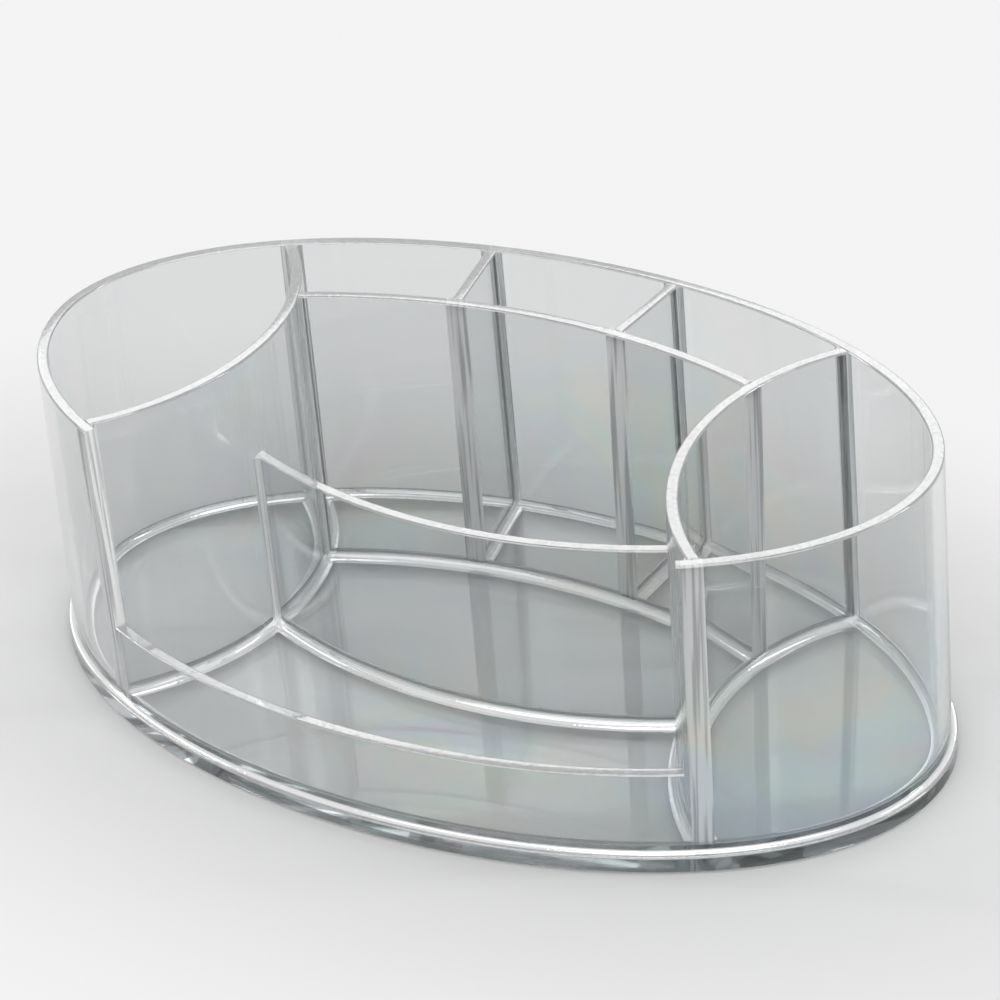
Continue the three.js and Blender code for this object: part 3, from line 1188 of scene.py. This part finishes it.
@dataclass
class RearDividers:
    """The two straight dividers of the rear row, square to the rear pocket wall."""

    acrylic: Acrylic
    section: WallSection = WallSection(
        outer=WALL_THICKNESS / 2, inner=-WALL_THICKNESS / 2, height=TALL_HEIGHT
    )

    @property
    def outwards(self) -> Vector:
        """Direction of the right divider, from its front end to its rear end."""
        angle = math.asin(DIVIDER_X / REAR_FACE.radius)
        return Vector((math.sin(angle), math.cos(angle), 0))

    @property
    def middle(self) -> Vector:
        """Point on the right divider's middle line, in the rear pocket wall's back face."""
        return REAR_FACE.centre + self.outwards * (REAR_FACE.radius + WALL_THICKNESS)

    @property
    def length(self) -> float:
        """Length from that point that passes through the tall wall.

        Returns:
            The length, with an overrun to be trimmed.
        """
        def inside(along: float) -> bool:
            """Tells whether a point of the middle line lies inside the rim."""
            return RIM.outwards(self.middle + along * self.outwards, 0.0) < 0

        return halve(0.0, RIM.half_width, inside) + CUT_OVERRUN

    def face_end(self, side: int, way: int, gap: Gap) -> FaceEnd:
        """End of one face of the right divider.

        Args:
            side: 1 for the right face, -1 for the left one.
            way: 1 for the rear end, -1 for the front end.
            gap: Room in front of the neighbour.

        Returns:
            The end.
        """
        across = Vector((self.outwards.y, -self.outwards.x, 0)) * (WALL_THICKNESS / 2)
        half = self.length / 2
        centre = self.middle + half * self.outwards
        return FaceEnd(
            lambda along: centre + side * across + way * along * self.outwards,
            half * DIVIDER_REACH_SHARE, gap,
        )

    def ends(self) -> list[tuple[FaceEnd, FaceEnd]]:
        """The faces where they meet the tall wall and the rear pocket wall."""
        return [
            (self.face_end(1, way, gap), self.face_end(-1, way, gap))
            for way, gap in ((1, oval_gap), (-1, rear_gap))
        ]

    def build(self, oval_cutter: bpy.types.Object, rear_cutter: bpy.types.Object) -> None:
        """Builds both dividers.

        Args:
            oval_cutter: Tool in the place of the oval walls.
            rear_cutter: Tool in the place of the rear pocket wall.
        """
        outline = self.section.outline()
        start = self.middle - self.outwards * (WALL_THICKNESS / 2) + Vector((0, 0, PLATE_TOP))
        turn = Matrix.Rotation(-math.atan2(self.outwards.x, self.outwards.y), 4, "Z")
        bmesh.ops.transform(outline, matrix=Matrix.Translation(start) @ turn, verts=outline.verts)
        extruded = bmesh.ops.extrude_edge_only(outline, edges=outline.edges[:])["geom"]
        moved = [item for item in extruded if isinstance(item, bmesh.types.BMVert)]
        bmesh.ops.translate(outline, vec=self.outwards * (self.length + WALL_THICKNESS), verts=moved)
        close_ends(outline)
        right = new_acrylic("acrylic_right_rear_divider", outline)
        add_coves(right, self.ends(), TALL_HEIGHT)
        work(right, Joinery.CUT, oval_cutter, rear_cutter)
        left = mirrored(right, "acrylic_left_rear_divider")
        self.acrylic.dress(right, "right_rear_divider")
        self.acrylic.dress(left, "left_rear_divider")


def build_organizer() -> None:
    """Builds the nine acrylic pieces."""
    effects = (StressTint().group(), Handling().group())
    shared = [finish.material(*effects) for finish in (EDGE_WITH_PAINTED_HIGHLIGHT, FILLET_WITH_PAINTED_HIGHLIGHT, JOINT_WITH_PAINTED_HIGHLIGHT)]
    wall_acrylic = Acrylic(WALL_FACE.material(*effects), *shared)
    BasePlate(Acrylic(PLATE_FACE.material(*effects), *shared)).build()
    oval = OvalWalls(wall_acrylic)
    oval_cutter = oval.cutter()
    pockets = PocketWalls(wall_acrylic)
    pocket_spaces = pockets.space_cutters()
    rear = CrossWall(
        wall_acrylic, "rear_pocket_wall", REAR_FACE,
        WallSection(outer=WALL_THICKNESS, inner=0.0, height=TALL_HEIGHT), math.pi / 2,
    )
    middle = CrossWall(
        wall_acrylic, "middle_wall", MIDDLE_FACE,
        WallSection(outer=0.0, inner=-WALL_THICKNESS, height=MIDDLE_HEIGHT), -math.pi / 2,
    )
    rear_cutter = rear.cutter()
    oval.build_tall()
    pockets.build(oval_cutter)
    rear.build(pocket_spaces)
    middle.build(pocket_spaces)
    RearDividers(wall_acrylic).build(oval_cutter, rear_cutter)
    for space in pocket_spaces:
        work(space, Joinery.CUT, oval_cutter)
    oval.build_front(pocket_spaces)
    discard(oval_cutter, rear_cutter, *pocket_spaces)


@dataclass(frozen=True)
class Softbox:
    """A soft lamp that faces a point on the organizer."""

    name: str
    place: tuple[float, float, float]
    width: float
    height: float
    power: float

    def build(self, target: Vector) -> None:
        """Hangs the lamp, which no camera sees.

        Args:
            target: The point that it faces.
        """
        light = bpy.data.lights.new(self.name, "AREA")
        light.shape = "RECTANGLE"
        light.size, light.size_y = self.width, self.height
        light.energy = self.power
        lamp = bpy.data.objects.new(self.name, light)
        lamp.location = self.place
        lamp.rotation_euler = (target - Vector(self.place)).to_track_quat("-Z", "Y").to_euler()
        lamp.visible_camera = False
        bpy.context.scene.collection.objects.link(lamp)


@dataclass(frozen=True)
class Studio:
    """Pale floor that runs into a pale backdrop, under soft lamps.

    Attributes:
        floor_radius: Radius of the floor.
        floor_steps: Number of its sides.
        floor_drop: Distance of the floor below the plate.
        tone: Colour of the floor round the organizer, greyer than the white far off: painted shade round it,
            beside its real cast shadow.
        near: Distance, along X, to which the floor keeps that colour.
        far: Distance, along X, from which it is plain white.
        oval: Scale that turns those distances into ovals of the rim's proportions.
        far_white: Brightness of the plain white.
        ambient: Light of the room on matt surfaces.
        room_white: Brightness of the room as acrylic mirrors it or shows it.
        matt_depth: Number of matt bounces that tells a mirrored room from its light.
        lamps: The soft lamps.
    """

    floor_radius: float = 6.0
    floor_steps: int = 64
    floor_drop: float = 0.25 * MM
    tone: Colour = (0.76, 0.76, 0.76, 1.0)
    near: float = 0.13
    far: float = 0.30
    oval: tuple[float, float, float] = (1.0, RIM.half_length / RIM.half_width, 1.0)
    far_white: float = 0.90
    ambient: float = 0.66
    room_white: float = 1.0
    matt_depth: float = 0.5
    lamps: tuple[Softbox, ...] = (
        Softbox("overhead softbox", (0.1, -0.1, 1.25), 0.5, 0.4, 1.6),
        Softbox("rear strip", (-0.5, 0.95, 0.80), 1.4, 0.22, 1.3),
        Softbox("front softbox", (0.45, -1.1, 0.60), 2.4, 1.3, 8.0),
        Softbox("left strip", (-0.95, -0.25, 0.55), 0.10, 0.8, 1.4),
        Softbox("right strip", (0.9, 0.35, 0.6), 0.10, 0.8, 1.4),
    )

    def floor_material(self) -> bpy.types.Material:
        """Builds the floor's matt finish, which turns into plain white far from the organizer.

        Returns:
            The material. Only what is seen, mirrored or seen through turns white.
        """
        made = bpy.data.materials.new("pale floor")
        made.use_nodes = True
        made.node_tree.nodes.clear()
        bench = NodeBench(made.node_tree)
        # Painted shade: the grey floor near the organizer, against white farther out, reads as a soft shadow
        # round it
        matt = bench.add("BsdfDiffuse", {"Color": self.tone})
        white = bench.add("Emission", {"Color": WHITE, "Strength": self.far_white})
        place = bench.stretched(bench.object_place(), self.oval)
        distance = bench.add("VectorMath", {0: place}, operation="LENGTH")
        away = bench.add(
            "MapRange",
            {"Value": distance.outputs["Value"], "From Min": self.near, "From Max": self.far},
            interpolation_type="SMOOTHSTEP",
        )
        path = bench.add("LightPath", {}).outputs
        seen = bench.math("MAXIMUM", path["Is Camera Ray"], path["Is Glossy Ray"])
        shown = bench.math("MAXIMUM", seen, path["Is Transmission Ray"])
        share = bench.math("MULTIPLY", shown, away.outputs["Result"])
        mixed = bench.add("MixShader", {0: share, 1: matt.outputs["BSDF"], 2: white.outputs["Emission"]})
        bench.add("OutputMaterial", {"Surface": mixed.outputs["Shader"]})
        return made

    def surroundings(self) -> bpy.types.World:
        """Builds the room: dim light for matt surfaces, white where acrylic mirrors or shows it.

        Returns:
            The world.
        """
        world = bpy.data.worlds.new("studio")
        world.use_nodes = True
        world.node_tree.nodes.clear()
        bench = NodeBench(world.node_tree)
        path = bench.add("LightPath", {}).outputs
        shown = bench.math("MAXIMUM", path["Is Glossy Ray"], path["Is Transmission Ray"])
        before_matt = bench.math("LESS_THAN", path["Diffuse Depth"], self.matt_depth)
        to_viewer = bench.math("MULTIPLY", shown, before_matt)
        strength = bench.add(
            "MapRange", {"Value": to_viewer, "To Min": self.ambient, "To Max": self.room_white}
        )
        room = bench.add("Background", {"Color": WHITE, "Strength": strength.outputs["Result"]})
        bench.add("OutputWorld", {"Surface": room.outputs["Background"]})
        return world

    def build(self) -> None:
        """Lays the floor, lights the world and hangs the lamps."""
        mesh = bmesh.new()
        bmesh.ops.create_circle(mesh, cap_ends=True, segments=self.floor_steps, radius=self.floor_radius)
        bmesh.ops.translate(mesh, vec=(0, 0, -self.floor_drop), verts=mesh.verts)
        floor = new_object("studio_floor", mesh)
        floor.data.materials.append(self.floor_material())
        bpy.context.scene.world = self.surroundings()
        target = Vector((0, 0, TALL_HEIGHT / 2))
        for lamp in self.lamps:
            lamp.build(target)


@dataclass(frozen=True)
class PhotoCamera:
    """Camera at the photograph's viewing angle, turned about its target.

    Angles are radians, and the lens is in millimetres.
    """

    target: tuple[float, float, float] = (-8.0 * MM, 24.1 * MM, 36.0 * MM)
    distance: float = 0.7745
    azimuth: float = 0.5119
    elevation: float = 0.5828
    roll: float = -0.0798
    lens: float = 106.29
    clip_start: float = 10.0 * MM

    def build(self) -> None:
        """Places the camera and makes it the scene's own."""
        turned = (
            Matrix.Rotation(self.azimuth, 4, "Z")
            @ Matrix.Rotation(math.pi / 2 - self.elevation, 4, "X")
            @ Matrix.Rotation(self.roll, 4, "Z")
        )
        back = Matrix.Translation((0, 0, self.distance))
        data = bpy.data.cameras.new("photo camera")
        data.lens = self.lens
        data.clip_start = self.clip_start
        camera = bpy.data.objects.new("photo camera", data)
        camera.matrix_world = Matrix.Translation(self.target) @ turned @ back
        bpy.context.scene.collection.objects.link(camera)
        bpy.context.scene.camera = camera


def main() -> None:
    """Builds the organizer, its studio and its camera."""
    logging.basicConfig(level=logging.INFO, format="%(message)s")
    scene = bpy.context.scene
    scene.view_settings.view_transform = "Standard"
    scene.cycles.transmission_bounces = CLEAR_BOUNCES
    scene.cycles.glossy_bounces = CLEAR_BOUNCES
    scene.cycles.max_bounces = MOST_BOUNCES
    PhotoCamera().build()
    Studio().build()
    build_organizer()


if __name__ == "__main__":
    main()
